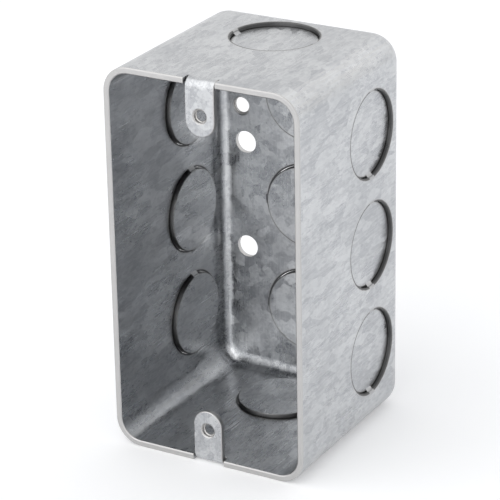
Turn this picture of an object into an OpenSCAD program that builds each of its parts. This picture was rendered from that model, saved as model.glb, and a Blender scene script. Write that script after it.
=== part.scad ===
// A handy box: a small wall box for one switch or receptacle, drawn in one piece from galvanised
// steel sheet. Two tabs of the sheet fold in over the mouth and are tapped for the device's screws.
// Each knockout is a round slug that is sheared almost free of the wall, pushed in by part of the
// sheet's thickness, and held by two ties.
// Looked at from its open front, X is to the right and Z is up. Y runs from the mouth to the back.
// The origin is the centre of the back, on its outer face.

/* [Box] */
// Length of the box, over its two end walls
box_length = 101.6; // [98:0.1:125]
// Width of the box, over its two side walls
box_width = 54; // [50:0.1:70]
// Depth of the box, from its rim to its back
box_depth = 54; // [44:0.1:70]
// Thickness of the steel sheet
sheet = 1.6; // [1.3:0.05:2]
// Outside radius of the four corners between the side walls and the end walls
corner_radius = 7; // [6:0.1:8.5]
// Outside radius of the bend between the back and the walls
back_radius = 4.8; // [4:0.1:5.6]
// Chamfer along the two edges of the trimmed rim
rim_chamfer = 0.25; // [0.1:0.05:0.4]

/* [Knockouts] */
// Diameter of the hole that a knockout leaves
ko_diameter = 22.2; // [18:0.1:24]
// Distance between the knockouts in a row
ko_pitch = 29.4; // [28:0.1:32]
// From the outer face of the back to the knockouts in the side walls and the end walls
ko_from_back = 17; // [16:0.1:22]
// How far each slug is pushed in
ko_push = 1.1; // [0.6:0.05:1.2]
// Width of the sheared gap around each slug
ko_shear = 0.15; // [0.1:0.01:0.25]
// Width of each of the two ties that hold a slug
ko_tie_width = 2.4; // [1.6:0.1:3.2]
// Length of the slope of each tie, from the wall down to the slug
ko_tie_slope = 1.6; // [1.2:0.1:2.2]
// Chamfer around the mouth of each knockout, and around the inner face of its slug
ko_chamfer = 0.2; // [0.05:0.01:0.25]

/* [Ears] */
// From the outer face of an end wall to the device screw in its ear
ear_screw_inset = 9.15; // [8:0.05:12]
// Diameter of the tapped hole for the device screw
ear_screw_diameter = 3.5; // [3:0.05:4.2]
// Width of each ear
ear_width = 8; // [7:0.1:10]
// From the device screw to the tip of the ear
ear_tip = 5.2; // [4.5:0.1:6.5]
// Inside radius of the fold of each ear
ear_fold_radius = 0.8; // [0.5:0.05:1.2]
// Width of the relief slot on each side of an ear
ear_relief = 0.4; // [0.3:0.05:0.8]
// Chamfer along the sheared edges of each ear
ear_chamfer = 0.2; // [0.1:0.05:0.3]

/* [Holes in the back] */
// Diameter of the four mounting holes
mount_hole_diameter = 6; // [4.5:0.1:7]
// From the outer face of a side wall to the mounting holes
mount_hole_inset = 9.3; // [8.5:0.1:11]
// Diameter of the tapped hole for the ground screw
ground_diameter = 4.8; // [4:0.1:5.6]
// From the outer face of the left side wall to the ground screw
ground_inset = 8; // [7:0.1:9.5]
// From the centre of the box up to the ground screw
ground_height = 24.5; // [23:0.1:30]
// Chamfer at the mouth of each punched or tapped hole
hole_chamfer = 0.3; // [0.1:0.05:0.4]

/* [Hidden] */
$fn = 96;

galvanised = "gainsboro";

ko_radius = ko_diameter / 2;
half_length = box_length / 2;
half_width = box_width / 2;
// How far a cutting shape runs past the face that it opens
past = 1;
// Knockouts on each side of the middle one, as many as the flat of a long wall takes
ko_pairs = floor((half_length - corner_radius - ko_radius) / ko_pitch);
ko_row = [for (step = [-ko_pairs : ko_pairs]) step * ko_pitch];
// Height above the back at which an ear's fold leaves the end wall
fold_start = box_depth - sheet - ear_fold_radius;
// From the middle of the box to the ear's screw, to the centre of its round tip, and to its fold
ear_screw_y = half_length - ear_screw_inset;
ear_round_y = ear_screw_y - ear_tip + ear_width / 2;
ear_fold_y = half_length - sheet - ear_fold_radius;

// The sheet's section from the flat of the back, round the bend and up to the trimmed rim.
// X is the distance outwards from a corner's axis and Y is the height above the back.
module wall_section() {
    bend_x = corner_radius - back_radius;
    // flat of the back
    square([bend_x, sheet]);
    // bend
    difference() {
        translate([bend_x, back_radius])
            circle(r = back_radius);
        translate([bend_x, back_radius])
            circle(r = back_radius - sheet);
        translate([bend_x - 2 * back_radius, -back_radius])
            square([2 * back_radius, 4 * back_radius]);
        translate([bend_x - back_radius, back_radius])
            square([3 * back_radius, 2 * back_radius]);
    }
    // wall, with its rim
    polygon([
        [corner_radius - sheet, back_radius],
        [corner_radius, back_radius],
        [corner_radius, box_depth - rim_chamfer],
        [corner_radius - rim_chamfer, box_depth],
        [corner_radius - sheet + rim_chamfer, box_depth],
        [corner_radius - sheet, box_depth - rim_chamfer]
    ]);
}

// A straight stretch of the section, of the given length, standing on the right of the origin
module straight_wall(length) {
    translate([0, length / 2, 0])
        rotate([90, 0, 0])
            linear_extrude(height = length)
                wall_section();
}

// The drawn pan: the section carried round the four corners, and the flat of the back
module drawn_pan() {
    flat_x = half_width - corner_radius;
    flat_y = half_length - corner_radius;
    for (turn = [0, 180])
        rotate([0, 0, turn]) {
            translate([flat_x, 0, 0])
                straight_wall(2 * flat_y);
            translate([0, flat_y, 0])
                rotate([0, 0, 90])
                    straight_wall(2 * flat_x);
            translate([flat_x, flat_y, 0])
                rotate_extrude(angle = 90)
                    wall_section();
            translate([-flat_x, flat_y, 0])
                rotate([0, 0, 90])
                    rotate_extrude(angle = 90)
                        wall_section();
        }
    translate([-flat_x, -flat_y, 0])
        cube([2 * flat_x, 2 * flat_y, sheet]);
}

// A round hole through the sheet, with a chamfer at its outer face. Z runs into the sheet.
module round_hole(radius, chamfer) {
    translate([0, 0, -past])
        cylinder(r = radius, h = sheet + 2 * past);
    translate([0, 0, -past])
        cylinder(r1 = radius + chamfer + past, r2 = radius, h = chamfer + past);
}

// One knockout's slug with its two ties, along X. Z runs into the sheet.
module knockout_slug() {
    slug_radius = ko_radius - ko_shear;
    tie_outer = ko_radius + ko_tie_slope / 2;
    tie_inner = ko_radius - ko_tie_slope / 2;
    translate([0, 0, ko_push])
        rotate_extrude()
            polygon([
                [0, 0],
                [slug_radius, 0],
                [slug_radius, sheet - ko_chamfer],
                [slug_radius - ko_chamfer, sheet],
                [0, sheet]
            ]);
    for (turn = [0, 180])
        rotate([0, 0, turn])
            translate([0, ko_tie_width / 2, 0])
                rotate([90, 0, 0])
                    linear_extrude(height = ko_tie_width)
                        polygon([
                            [tie_outer, 0],
                            [tie_inner, ko_push],
                            [tie_inner, ko_push + sheet],
                            [tie_outer, sheet]
                        ]);
}

// Puts what it is given at each knockout, with Z running into the box from its outer face
module at_each_knockout() {
    // back
    for (y = ko_row)
        translate([0, y, 0])
            children();
    for (turn = [0, 180])
        rotate([0, 0, turn]) {
            // side walls, with the ties above and below
            for (y = ko_row)
                translate([half_width, y, ko_from_back])
                    rotate([0, -90, 0])
                        rotate([0, 0, 90])
                            children();
            // end walls, with the ties to left and right
            translate([0, half_length, ko_from_back])
                rotate([90, 0, 0])
                    children();
        }
}

// What is cut from the rim to free one ear: the tab's own width, and a round-ended slot beside it
module ear_cut() {
    translate([-ear_width / 2 - ear_relief, ear_fold_y, fold_start])
        cube([ear_width + 2 * ear_relief, sheet + ear_fold_radius + past, box_depth - fold_start + past]);
    for (side = [-1, 1])
        translate([side * (ear_width + ear_relief) / 2, half_length + past, fold_start])
            rotate([90, 0, 0])
                cylinder(d = ear_relief, h = sheet + 2 * past);
}

// An ear's section, with its sheared edges chamfered. X runs across it and Y through the sheet.
module tab_section() {
    half = ear_width / 2;
    polygon([
        [-half + ear_chamfer, 0],
        [half - ear_chamfer, 0],
        [half, ear_chamfer],
        [half, sheet - ear_chamfer],
        [half - ear_chamfer, sheet],
        [-half + ear_chamfer, sheet],
        [-half, sheet - ear_chamfer],
        [-half, ear_chamfer]
    ]);
}

// One ear: its section carried round the fold, along the flat and round the tip
module ear() {
    // fold
    translate([0, ear_fold_y, fold_start])
        rotate([90, 0, 90])
            rotate_extrude(angle = 90)
                translate([ear_fold_radius, 0])
                    mirror([1, -1])
                        tab_section();
    difference() {
        union() {
            // flat
            translate([0, ear_fold_y, box_depth - sheet])
                rotate([90, 0, 0])
                    linear_extrude(height = ear_fold_y - ear_round_y)
                        tab_section();
            // tip
            translate([0, ear_round_y, box_depth - sheet])
                rotate_extrude()
                    intersection() {
                        tab_section();
                        square([ear_width, sheet]);
                    }
        }
        // tapped hole
        translate([0, ear_screw_y, box_depth])
            rotate([180, 0, 0])
                round_hole(ear_screw_diameter / 2, hole_chamfer);
    }
}

// The four mounting holes and the ground screw's hole, through the back
module back_holes() {
    for (side = [-1, 1])
        for (end = [-1, 1])
            translate([side * (half_width - mount_hole_inset), end * ko_pitch / 2, 0])
                round_hole(mount_hole_diameter / 2, hole_chamfer);
    translate([-half_width + ground_inset, ground_height, sheet])
        rotate([180, 0, 0])
            round_hole(ground_diameter / 2, hole_chamfer);
}

// The whole box, standing on one end with its mouth to the front
module box_body() {
    color(galvanised)
        rotate([90, 0, 0]) {
            difference() {
                drawn_pan();
                at_each_knockout()
                    round_hole(ko_radius, ko_chamfer);
                back_holes();
                for (turn = [0, 180])
                    rotate([0, 0, turn])
                        ear_cut();
            }
            at_each_knockout()
                knockout_slug();
            for (turn = [0, 180])
                rotate([0, 0, turn])
                    ear();
        }
}

box_body();
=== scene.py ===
import math

import bpy
from mathutils import Matrix, Vector


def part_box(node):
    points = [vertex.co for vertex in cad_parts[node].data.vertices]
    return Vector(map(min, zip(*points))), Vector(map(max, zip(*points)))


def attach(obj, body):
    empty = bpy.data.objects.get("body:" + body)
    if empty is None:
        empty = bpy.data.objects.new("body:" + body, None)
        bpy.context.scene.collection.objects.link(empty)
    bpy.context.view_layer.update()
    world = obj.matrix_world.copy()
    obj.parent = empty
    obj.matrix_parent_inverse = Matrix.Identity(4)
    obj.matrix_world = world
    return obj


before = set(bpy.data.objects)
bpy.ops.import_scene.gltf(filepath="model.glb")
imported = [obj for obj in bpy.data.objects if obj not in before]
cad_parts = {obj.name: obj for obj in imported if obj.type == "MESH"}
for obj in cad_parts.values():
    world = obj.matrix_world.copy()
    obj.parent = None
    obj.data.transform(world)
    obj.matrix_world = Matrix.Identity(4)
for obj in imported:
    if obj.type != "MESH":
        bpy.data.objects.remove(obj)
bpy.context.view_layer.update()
scene = bpy.context.scene
scene.view_settings.view_transform = "Standard"

MM = 0.001


# Camera
# It stands off to the right of the open front and above it, and sees the mouth, the right wall
# and the top. The lens is long, so the box's edges stay nearly parallel.
camera_place = (0.2996, -0.5501, 0.2531)
camera_turn = math.radians(30)
camera_dip = math.radians(-23)
camera_roll = math.radians(1.08)

camera_data = bpy.data.cameras.new("camera")
camera_data.sensor_width = 36
camera_data.lens = 187.2
camera_data.clip_start = 0.01
camera_data.clip_end = 50
camera = bpy.data.objects.new("camera", camera_data)
camera.matrix_world = (
    Matrix.Translation(camera_place)
    @ Matrix.Rotation(camera_turn, 4, "Z")
    @ Matrix.Rotation(camera_dip, 4, "X")
    @ Matrix.Rotation(camera_roll, 4, "Y")
    @ Matrix.Rotation(math.radians(90), 4, "X")
)
scene.collection.objects.link(camera)
scene.camera = camera


# Floor and studio light
# A plain pale floor under the box's lower end, a pale sky, and four soft lamps: a key over the left
# shoulder, one that looks into the mouth, a faint fill from the right and a rim lamp behind. The
# camera and the steel's gloss see plain white in place of the sky.
floor_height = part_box("box_body")[0][2]
floor_reach = 8.0
floor_colour = (0.90, 0.90, 0.90, 1)
# The floor glows more with the distance from the box, which blends it into the background
floor_lift_near = 0.19
floor_lift_far = 0.55
floor_near = 0.5
floor_far = 2.5
sky_low = (0.27, 0.275, 0.285, 1)
sky_high = (0.88, 0.89, 0.91, 1)
sky_low_at = -0.1
sky_high_at = 0.8
background_white = (1, 1, 1, 1)
lamp_aim = (0, -0.03, 0)


def seen_straight_on(tree):
    """1 for what the camera sees itself, in the steel's gloss or through glass, and 0 for light."""
    path = tree.nodes.new("ShaderNodeLightPath")
    in_gloss_or_glass = tree.nodes.new("ShaderNodeMath")
    in_gloss_or_glass.operation = "MAXIMUM"
    tree.links.new(path.outputs["Is Glossy Ray"], in_gloss_or_glass.inputs[0])
    tree.links.new(path.outputs["Is Transmission Ray"], in_gloss_or_glass.inputs[1])
    seen = tree.nodes.new("ShaderNodeMath")
    seen.operation = "MAXIMUM"
    tree.links.new(path.outputs["Is Camera Ray"], seen.inputs[0])
    tree.links.new(in_gloss_or_glass.outputs[0], seen.inputs[1])
    return seen.outputs[0]


floor_mesh = bpy.data.meshes.new("floor")
floor_mesh.from_pydata(
    [(x * floor_reach, y * floor_reach, floor_height) for x, y in ((-1, -1), (1, -1), (1, 1), (-1, 1))],
    [],
    [(0, 1, 2, 3)],
)
floor = bpy.data.objects.new("floor", floor_mesh)
scene.collection.objects.link(floor)
floor_paint = bpy.data.materials.new("floor_paint")
floor_paint.use_nodes = True
floor_tree = floor_paint.node_tree
floor_shader = floor_tree.nodes["Principled BSDF"]
floor_shader.inputs["Base Color"].default_value = floor_colour
floor_shader.inputs["Roughness"].default_value = 0.9
floor_shader.inputs["Specular IOR Level"].default_value = 0.1
floor_shader.inputs["Emission Color"].default_value = background_white
floor_place = floor_tree.nodes.new("ShaderNodeTexCoord")
floor_distance = floor_tree.nodes.new("ShaderNodeVectorMath")
floor_distance.operation = "LENGTH"
floor_lift = floor_tree.nodes.new("ShaderNodeMapRange")
floor_lift.inputs["From Min"].default_value = floor_near
floor_lift.inputs["From Max"].default_value = floor_far
floor_lift.inputs["To Min"].default_value = floor_lift_near
floor_lift.inputs["To Max"].default_value = floor_lift_far
floor_glow = floor_tree.nodes.new("ShaderNodeMath")
floor_glow.operation = "MULTIPLY"
floor_tree.links.new(floor_place.outputs["Object"], floor_distance.inputs[0])
floor_tree.links.new(floor_distance.outputs["Value"], floor_lift.inputs["Value"])
floor_tree.links.new(floor_lift.outputs["Result"], floor_glow.inputs[1])
floor_tree.links.new(seen_straight_on(floor_tree), floor_glow.inputs[0])
floor_tree.links.new(floor_glow.outputs[0], floor_shader.inputs["Emission Strength"])
floor_mesh.materials.append(floor_paint)

sky = bpy.data.worlds.new("sky")
scene.world = sky
sky.use_nodes = True
sky_tree = sky.node_tree
sky_direction = sky_tree.nodes.new("ShaderNodeTexCoord")
sky_split = sky_tree.nodes.new("ShaderNodeSeparateXYZ")
sky_rise = sky_tree.nodes.new("ShaderNodeMapRange")
sky_rise.inputs["From Min"].default_value = sky_low_at
sky_rise.inputs["From Max"].default_value = sky_high_at
sky_mix = sky_tree.nodes.new("ShaderNodeMix")
sky_mix.data_type = "RGBA"
sky_mix.inputs["A"].default_value = sky_low
sky_mix.inputs["B"].default_value = sky_high
sky_shown = sky_tree.nodes.new("ShaderNodeMix")
sky_shown.data_type = "RGBA"
sky_shown.inputs["B"].default_value = background_white
sky_tree.links.new(sky_direction.outputs["Generated"], sky_split.inputs[0])
sky_tree.links.new(sky_split.outputs["Z"], sky_rise.inputs["Value"])
sky_tree.links.new(sky_rise.outputs["Result"], sky_mix.inputs["Factor"])
sky_tree.links.new(sky_mix.outputs["Result"], sky_shown.inputs["A"])
sky_tree.links.new(seen_straight_on(sky_tree), sky_shown.inputs["Factor"])
sky_tree.links.new(sky_shown.outputs["Result"], sky_tree.nodes["Background"].inputs["Color"])


def softbox(name, place, size, watts):
    """A square studio lamp of the given size in metres, turned to face the box."""
    lamp_data = bpy.data.lights.new(name, "AREA")
    lamp_data.shape = "SQUARE"
    lamp_data.size = size
    lamp_data.energy = watts
    lamp = bpy.data.objects.new(name, lamp_data)
    lamp.location = place
    direction = Vector(lamp_aim) - lamp.location
    lamp.rotation_euler = direction.to_track_quat("-Z", "Y").to_euler()
    scene.collection.objects.link(lamp)


softbox("key_lamp", place=(-0.75, -0.95, 1.05), size=2.0, watts=9)
softbox("mouth_lamp", place=(0.1, -1.4, 0.35), size=1.0, watts=4)
softbox("fill_lamp", place=(1.3, -0.5, 0.5), size=1.1, watts=0.3)
softbox("rim_lamp", place=(0.4, 1.2, 0.9), size=1.5, watts=1.5)


# Box body
# One drawn pan of pre-galvanised sheet steel, with its two ears folded in over the mouth and its
# knockout slugs still held by their ties. The zinc has a fine spangle that the draw has stretched
# along the walls, and every sheared edge shows bare steel.
sheet = 1.6
ear_half_width = 4.0
knockout_radius = 11.1
knockout_pitch = 29.4
knockout_from_back = 17.0
tie_half_width = 1.2
wall_zone = 2 * sheet
back_zone = 1.8 * sheet
back_half_width = 21.5
back_half_length = 45
rim_band = 0.3
ear_margin = 0.4
ear_tip_reach = 47
# Where the cut line round each knockout sits and how it wavers, and how the painted shadow along it fades
shear_line_outside = 0.05
shear_line_waver = 0.20
shadow_line_fade = (0.34, 0.68)
shear_ring_fade = (0.50, 1.10)
tie_fade = (1.0, 1.2)
corner_from_middle = (20, 24)
corner_from_centre = (44, 48)
zinc_light = (0.61, 0.62, 0.63, 1)
zinc_dark = (0.41, 0.42, 0.44, 1)
bare_steel = (0.52, 0.515, 0.51, 1)
shear_shadow = (0.12, 0.12, 0.12, 1)
spangle_size = 2.8
grain_size = 0.7
spangle_lean = 0.08
draw_stretch = 0.45
spangle_weight = 0.32
grain_weight = 0.30
feather_weight = 0.45
smoothest = 0.19
roughness_by_tone = 0.16
edge_round = 0.16
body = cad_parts["box_body"]
body_low, body_high = (tuple(value / MM for value in corner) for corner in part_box("box_body"))

galvanised = bpy.data.materials.new("galvanised_sheet")
galvanised.use_nodes = True
tree = galvanised.node_tree
steel = tree.nodes["Principled BSDF"]
steel.inputs["Metallic"].default_value = 1.0


def node_math(operation, first, second=0.5, third=0.0):
    """One Math node. Each input is a number or another node's output."""
    node = tree.nodes.new("ShaderNodeMath")
    node.operation = operation
    for socket, value in zip(node.inputs, (first, second, third)):
        if isinstance(value, (int, float)):
            socket.default_value = value
        else:
            tree.links.new(value, socket)
    return node.outputs[0]


def ramp(value, low, high, out_low=0.0, out_high=1.0):
    """Maps a value smoothly from one range to another, and holds it at the ends."""
    node = tree.nodes.new("ShaderNodeMapRange")
    node.interpolation_type = "SMOOTHSTEP"
    tree.links.new(value, node.inputs["Value"])
    for name, number in zip(("From Min", "From Max", "To Min", "To Max"), (low, high, out_low, out_high)):
        node.inputs[name].default_value = number
    return node.outputs["Result"]


def all_of(*masks):
    """1 where every mask is 1."""
    result = masks[0]
    for mask in masks[1:]:
        result = node_math("MULTIPLY", result, mask)
    return result


def any_of(*masks):
    """1 where at least one mask is 1."""
    result = masks[0]
    for mask in masks[1:]:
        result = node_math("MAXIMUM", result, mask)
    return result


def vector_math(operation, first, second):
    """One Vector Math node. The second input is three numbers or another node's output."""
    node = tree.nodes.new("ShaderNodeVectorMath")
    node.operation = operation
    tree.links.new(first, node.inputs[0])
    if isinstance(second, tuple):
        node.inputs[1].default_value = second
    else:
        tree.links.new(second, node.inputs[1])
    return node.outputs[0]


def noise(vector, scale, detail=3.0, roughness=0.55, output="Fac"):
    """Noise with features of about 1 / scale millimetres."""
    node = tree.nodes.new("ShaderNodeTexNoise")
    node.inputs["Scale"].default_value = scale
    node.inputs["Detail"].default_value = detail
    node.inputs["Roughness"].default_value = roughness
    tree.links.new(vector, node.inputs["Vector"])
    return node.outputs[output]


def crystals(vector, size):
    """Cells of about the given size in millimetres, each with a colour of its own."""
    node = tree.nodes.new("ShaderNodeTexVoronoi")
    node.inputs["Scale"].default_value = 1 / size
    tree.links.new(vector, node.inputs["Vector"])
    return node.outputs["Color"]


def channels(vector):
    """The three parts of a vector or a colour."""
    node = tree.nodes.new("ShaderNodeSeparateXYZ")
    tree.links.new(vector, node.inputs[0])
    return node.outputs


def colour_mix(factor, first, second):
    """Mixes two colours, each of them a value or another node's output."""
    node = tree.nodes.new("ShaderNodeMix")
    node.data_type = "RGBA"
    for name, value in (("Factor", factor), ("A", first), ("B", second)):
        socket = node.inputs[name]
        if isinstance(value, (int, float, tuple)):
            socket.default_value = value
        else:
            tree.links.new(value, socket)
    return node.outputs["Result"]


def from_axis(first, second, on_wall):
    """Distance from a knockout's axis on one wall, and far away off that wall."""
    node = tree.nodes.new("ShaderNodeCombineXYZ")
    tree.links.new(first, node.inputs[0])
    tree.links.new(second, node.inputs[1])
    tree.links.new(node_math("MULTIPLY_ADD", on_wall, -1000, 1000), node.inputs[2])
    length = tree.nodes.new("ShaderNodeVectorMath")
    length.operation = "LENGTH"
    tree.links.new(node.outputs[0], length.inputs[0])
    return length.outputs["Value"]


# Places on the sheet, in millimetres, and which way its surface faces
coordinates = tree.nodes.new("ShaderNodeTexCoord")
place_mm = vector_math("MULTIPLY", coordinates.outputs["Object"], (1 / MM, 1 / MM, 1 / MM))
across, along_draw, up = channels(place_mm)
off_middle = node_math("ABSOLUTE", across)
off_centre = node_math("ABSOLUTE", up)
facing = channels(coordinates.outputs["Normal"])
faces_side = node_math("ABSOLUTE", facing[0])
faces_front = node_math("ABSOLUTE", facing[1])

# Sheared edges: the rim, the ears' outlines, the holes in the back and the rings round the slugs show bare
# steel; a dark line round each slug is painted shadow of the cut gap
on_ear = all_of(node_math("LESS_THAN", off_middle, ear_half_width + ear_margin),
                node_math("LESS_THAN", along_draw, body_low[1] + wall_zone))
on_back = all_of(node_math("GREATER_THAN", along_draw, -back_zone),
                 node_math("LESS_THAN", off_middle, back_half_width),
                 node_math("LESS_THAN", off_centre, back_half_length))
rim_edge = all_of(node_math("LESS_THAN", along_draw, body_low[1] + rim_band),
                  node_math("LESS_THAN", on_ear, 0.5))
ear_flank = all_of(on_ear, node_math("GREATER_THAN", faces_side, 0.5))
ear_tip = all_of(on_ear, node_math("LESS_THAN", faces_front, 0.8),
                 node_math("LESS_THAN", off_centre, ear_tip_reach))
hole_wall = all_of(on_back, node_math("LESS_THAN", faces_front, 0.6))
on_side = node_math("GREATER_THAN", off_middle, body_high[0] - wall_zone)
on_end = node_math("GREATER_THAN", off_centre, body_high[2] - wall_zone)
in_row = node_math("LESS_THAN", off_centre, 1.5 * knockout_pitch)
row_up = node_math("WRAP", up, knockout_pitch / 2, -knockout_pitch / 2)
from_knockouts = node_math("ADD", along_draw, knockout_from_back)
slug_distance = node_math("MINIMUM", from_axis(from_knockouts, row_up, all_of(on_side, in_row)),
                          from_axis(across, row_up, all_of(on_back, in_row)))
slug_distance = node_math("MINIMUM", slug_distance, from_axis(across, from_knockouts, on_end))
shear_radius = knockout_radius + shear_line_outside
shear_offset = node_math("ABSOLUTE", node_math("SUBTRACT", slug_distance, shear_radius))
shear_offset = node_math("MULTIPLY_ADD", noise(place_mm, 0.9), shear_line_waver, shear_offset)
tie_off_side = all_of(any_of(on_side, on_end), node_math("COMPARE", from_knockouts, 0.0, tie_half_width))
tie_off_back = all_of(on_back, node_math("COMPARE", row_up, 0.0, tie_half_width))
on_tie = all_of(any_of(tie_off_side, tie_off_back), ramp(shear_offset, *tie_fade, 1, 0))
# Painted shadow: a dark line on the shear walls and at the cut gap round each slug, fainter at the ties
gap_shadow = all_of(ramp(shear_offset, *shadow_line_fade, 1, 0), node_math("MULTIPLY_ADD", on_tie, -0.85, 1))
shear_ring = ramp(shear_offset, *shear_ring_fade, 1, 0)
bare = any_of(rim_edge, ear_flank, ear_tip, hole_wall, node_math("MULTIPLY", shear_ring, 0.55))

# Spangle: flat crystals of zinc, each with a tone and a lean of its own
warp = noise(place_mm, 0.45, 4, output="Color")
warped = vector_math("ADD", vector_math("MULTIPLY", warp, (0.9, 0.9, 0.9)), place_mm)
drawn_place = vector_math("MULTIPLY", warped, (1, draw_stretch, 1))
spangle = crystals(drawn_place, spangle_size)
grain = crystals(drawn_place, grain_size)
feathers = noise(drawn_place, 1.3, 6, 0.7)
zinc_tone = node_math("ADD", node_math("MULTIPLY", channels(spangle)[0], spangle_weight),
                      node_math("MULTIPLY", channels(grain)[1], grain_weight))
zinc_tone = node_math("ADD", zinc_tone, node_math("MULTIPLY", feathers, feather_weight))

# Draw marks: fine streaks along the walls, and rolling marks along the back
wall_streaks = noise(vector_math("MULTIPLY", place_mm, (3.2, 0.05, 3.2)), 1.0, 4, 0.65)
back_streaks = noise(vector_math("MULTIPLY", place_mm, (3.6, 3.6, 0.05)), 1.0, 4, 0.65)
streak_mix = tree.nodes.new("ShaderNodeMix")
tree.links.new(ramp(faces_front, 0.5, 0.9), streak_mix.inputs["Factor"])
tree.links.new(wall_streaks, streak_mix.inputs["A"])
tree.links.new(back_streaks, streak_mix.inputs["B"])
streaks = streak_mix.outputs["Result"]

# Burnish: the die rubs hardest on the four long corners, and scores them along the draw
on_corner = all_of(ramp(off_middle, *corner_from_middle), ramp(off_centre, *corner_from_centre))
scores = all_of(on_corner, ramp(wall_streaks, 0.46, 0.58))

# Handling: broad, faint stains, and a few fine scuffs
smudges = noise(place_mm, 0.05, 5, 0.6)
scuffs = ramp(noise(vector_math("MULTIPLY", warped, (0.5, 1.6, 5.0)), 1.0, 5, 0.75), 0.66, 0.74)

zinc_colour = colour_mix(ramp(zinc_tone, 0.24, 0.84), zinc_dark, zinc_light)
zinc_colour = colour_mix(ramp(streaks, 0.40, 0.72, 0, 0.45), zinc_colour, zinc_light)
zinc_colour = colour_mix(ramp(smudges, 0.45, 0.70, 0, 0.25), zinc_colour, zinc_dark)
zinc_colour = colour_mix(node_math("MULTIPLY", scuffs, 0.4), zinc_colour, zinc_light)
zinc_colour = colour_mix(node_math("MULTIPLY", scores, 0.5), zinc_colour, bare_steel)
sheet_colour = colour_mix(bare, zinc_colour, bare_steel)
# The shear_shadow colour paints the shade in and beside each knockout's cut gap
tree.links.new(colour_mix(gap_shadow, sheet_colour, shear_shadow), steel.inputs["Base Color"])

roughness = node_math("MULTIPLY_ADD", zinc_tone, roughness_by_tone, smoothest)
roughness = node_math("ADD", roughness, ramp(streaks, 0.35, 0.75, 0.05, -0.05))
roughness = node_math("ADD", roughness, ramp(smudges, 0.40, 0.70, 0.0, 0.10))
roughness = node_math("ADD", roughness, node_math("MULTIPLY", bare, 0.08))
roughness = node_math("ADD", roughness, node_math("MULTIPLY", on_tie, 0.15))
roughness = node_math("ADD", roughness, node_math("MULTIPLY", on_corner, -0.05))
roughness = node_math("ADD", roughness, node_math("MULTIPLY", scores, 0.08))
tree.links.new(roughness, steel.inputs["Roughness"])

# Relief: streaks are scored in, crystals lean a little, edges are slightly worn, and the walls
# aren't quite flat
relief_height = node_math("MULTIPLY_ADD", streaks, 0.016, node_math("MULTIPLY", feathers, 0.006))
relief_height = node_math("MULTIPLY_ADD", noise(place_mm, 0.07, 2), 0.30, relief_height)
worn_edges = tree.nodes.new("ShaderNodeBevel")
worn_edges.samples = 4
worn_edges.inputs["Radius"].default_value = edge_round * MM
relief = tree.nodes.new("ShaderNodeBump")
relief.inputs["Distance"].default_value = MM
tree.links.new(relief_height, relief.inputs["Height"])
tree.links.new(worn_edges.outputs[0], relief.inputs["Normal"])
lean = vector_math("SUBTRACT", spangle, (0.5, 0.5, 0.5))
leaning = vector_math("MULTIPLY", lean, (spangle_lean, spangle_lean, spangle_lean))
leaning = vector_math("ADD", leaning, relief.outputs[0])
tree.links.new(vector_math("NORMALIZE", leaning, (0.0, 0.0, 0.0)), steel.inputs["Normal"])

body.data.materials.clear()
body.data.materials.append(galvanised)


# Screw threads
# The two holes in the ears are tapped for 6-32 device screws, and the small hole in the back for a
# 10-32 ground screw. Each thread is a ridge of bare steel that the tap leaves standing in the hole.
thread_pitch = 25.4 / 32 * MM
thread_length = 1.3 * MM
thread_run_out = 0.3
thread_root_flat = 0.10 * MM
thread_crest_flat = 0.12 * MM
thread_seat = 0.05 * MM
thread_end_scale = 0.02
cut_dark = (0.42, 0.41, 0.40, 1)
cut_light = (0.66, 0.65, 0.64, 1)
steps_per_turn = 36
ear_thread_radius = 1.75 * MM
ear_thread_depth = 0.36 * MM
ground_thread_radius = 2.4 * MM
ground_thread_depth = 0.38 * MM
ear_hole_from_end = 9.15 * MM
ground_hole_place = (-19.0 * MM, 0, 24.5 * MM)

# From here on the helpers above write to this material's tree
cut_steel = bpy.data.materials.new("cut_steel")
cut_steel.use_nodes = True
tree = cut_steel.node_tree
cut_shader = tree.nodes["Principled BSDF"]
cut_shader.inputs["Metallic"].default_value = 1.0
cut_place = tree.nodes.new("ShaderNodeTexCoord")
cut_mm = vector_math("MULTIPLY", cut_place.outputs["Object"], (1 / MM, 1 / MM, 1 / MM))
chatter = noise(vector_math("MULTIPLY", cut_mm, (2.0, 9.0, 2.0)), 1.0, 4)
tree.links.new(colour_mix(ramp(chatter, 0.3, 0.7), cut_dark, cut_light), cut_shader.inputs["Base Color"])
tree.links.new(ramp(chatter, 0.3, 0.7, 0.22, 0.42), cut_shader.inputs["Roughness"])

thread_tree = bpy.data.node_groups.new("thread_ridge", "GeometryNodeTree")
for name in ("Hole radius", "Ridge depth", "Length"):
    thread_tree.interface.new_socket(name, in_out="INPUT", socket_type="NodeSocketFloat")
thread_tree.interface.new_socket("Centre", in_out="INPUT", socket_type="NodeSocketVector")
thread_tree.interface.new_socket("Geometry", in_out="OUTPUT", socket_type="NodeSocketGeometry")


def thread_node(kind, sockets, **settings):
    """A node of the thread's tree, with a value or another node's output for each named socket."""
    node = thread_tree.nodes.new(kind)
    for name, value in settings.items():
        setattr(node, name, value)
    for name, value in sockets.items():
        if isinstance(value, bpy.types.NodeSocket):
            thread_tree.links.new(value, node.inputs[name])
        else:
            node.inputs[name].default_value = value
    return node


def profile_corner(outwards, along):
    """A corner of the ridge's section: how far out from the hole's wall, and how far along it."""
    return thread_node("ShaderNodeCombineXYZ", {"X": outwards, "Y": along}).outputs[0]


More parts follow.
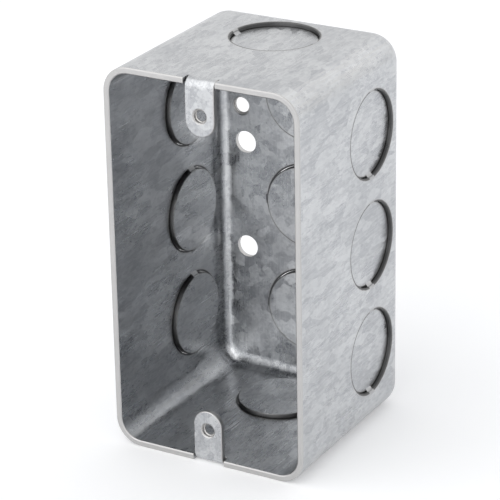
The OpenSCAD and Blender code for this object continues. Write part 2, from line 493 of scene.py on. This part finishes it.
thread_sizes = thread_tree.nodes.new("NodeGroupInput").outputs
turns = thread_node("ShaderNodeMath", {0: thread_sizes["Length"], 1: thread_pitch}, operation="DIVIDE")
helix = thread_node("GeometryNodeCurveSpiral", {
    "Resolution": steps_per_turn, "Rotations": turns.outputs[0], "Height": thread_sizes["Length"],
    "Start Radius": thread_sizes["Hole radius"], "End Radius": thread_sizes["Hole radius"],
    "Reverse": True})
upright = thread_node("GeometryNodeSetCurveNormal", {"Curve": helix.outputs["Curve"]}, mode="Z_UP")
half_root = (thread_pitch - thread_root_flat) / 2
half_crest = thread_crest_flat / 2
inwards = thread_node("ShaderNodeMath", {0: thread_sizes["Ridge depth"], 1: -1.0}, operation="MULTIPLY")
crest = inwards.outputs[0]
ridge = thread_node("GeometryNodeCurvePrimitiveQuadrilateral", {
    "Point 1": profile_corner(thread_seat, -half_root),
    "Point 2": profile_corner(thread_seat, half_root),
    "Point 3": profile_corner(crest, half_crest),
    "Point 4": profile_corner(crest, -half_crest)}, mode="POINTS")
run = thread_node("GeometryNodeSplineParameter", {})
to_far_end = thread_node("ShaderNodeMath", {0: 1.0, 1: run.outputs["Factor"]}, operation="SUBTRACT")
to_nearer_end = thread_node("ShaderNodeMath", {0: run.outputs["Factor"], 1: to_far_end.outputs[0]},
                            operation="MINIMUM")
run_out = thread_node("ShaderNodeMapRange", {"Value": to_nearer_end.outputs[0]})
run_out.inputs["From Max"].default_value = thread_run_out
run_out.inputs["To Min"].default_value = thread_end_scale
swept = thread_node("GeometryNodeCurveToMesh", {
    "Curve": upright.outputs["Curve"], "Profile Curve": ridge.outputs["Curve"],
    "Scale": run_out.outputs["Result"], "Fill Caps": True})
laid = thread_node("GeometryNodeTransform", {
    "Geometry": swept.outputs["Mesh"], "Translation": thread_sizes["Centre"],
    "Rotation": (math.radians(90), 0, 0)})
joined = thread_node("GeometryNodeRealizeInstances", {"Geometry": laid.outputs["Geometry"]})
dressed = thread_node("GeometryNodeSetMaterial", {
    "Geometry": joined.outputs["Geometry"], "Material": cut_steel})
thread_out = thread_tree.nodes.new("NodeGroupOutput")
thread_tree.links.new(dressed.outputs["Geometry"], thread_out.inputs["Geometry"])


def tapped_thread(name, radius, depth, centre):
    """The ridge in one tapped hole. Centre is where the helix starts, at the hole's back end."""
    holder = bpy.data.objects.new(name + "_holder", bpy.data.meshes.new(name + "_holder"))
    scene.collection.objects.link(holder)
    ridge_maker = holder.modifiers.new("thread", "NODES")
    ridge_maker.node_group = thread_tree
    values = {"Hole radius": radius, "Ridge depth": depth, "Length": thread_length, "Centre": centre}
    for item in thread_tree.interface.items_tree:
        if item.name in values:
            ridge_maker[item.identifier] = values[item.name]
    bpy.context.view_layer.update()
    shaped = holder.evaluated_get(bpy.context.evaluated_depsgraph_get())
    mesh = bpy.data.meshes.new_from_object(shaped)
    mesh.name = name
    bpy.data.objects.remove(holder)
    thread = bpy.data.objects.new(name, mesh)
    scene.collection.objects.link(thread)
    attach(thread, "root")


ear_hole_height = body_high[2] * MM - ear_hole_from_end
ear_thread_start = (body_low[1] + sheet) * MM
for name, height in (("upper_ear_thread", ear_hole_height), ("lower_ear_thread", -ear_hole_height)):
    tapped_thread(name, ear_thread_radius, ear_thread_depth, (0, ear_thread_start, height))
tapped_thread("ground_hole_thread", ground_thread_radius, ground_thread_depth, ground_hole_place)
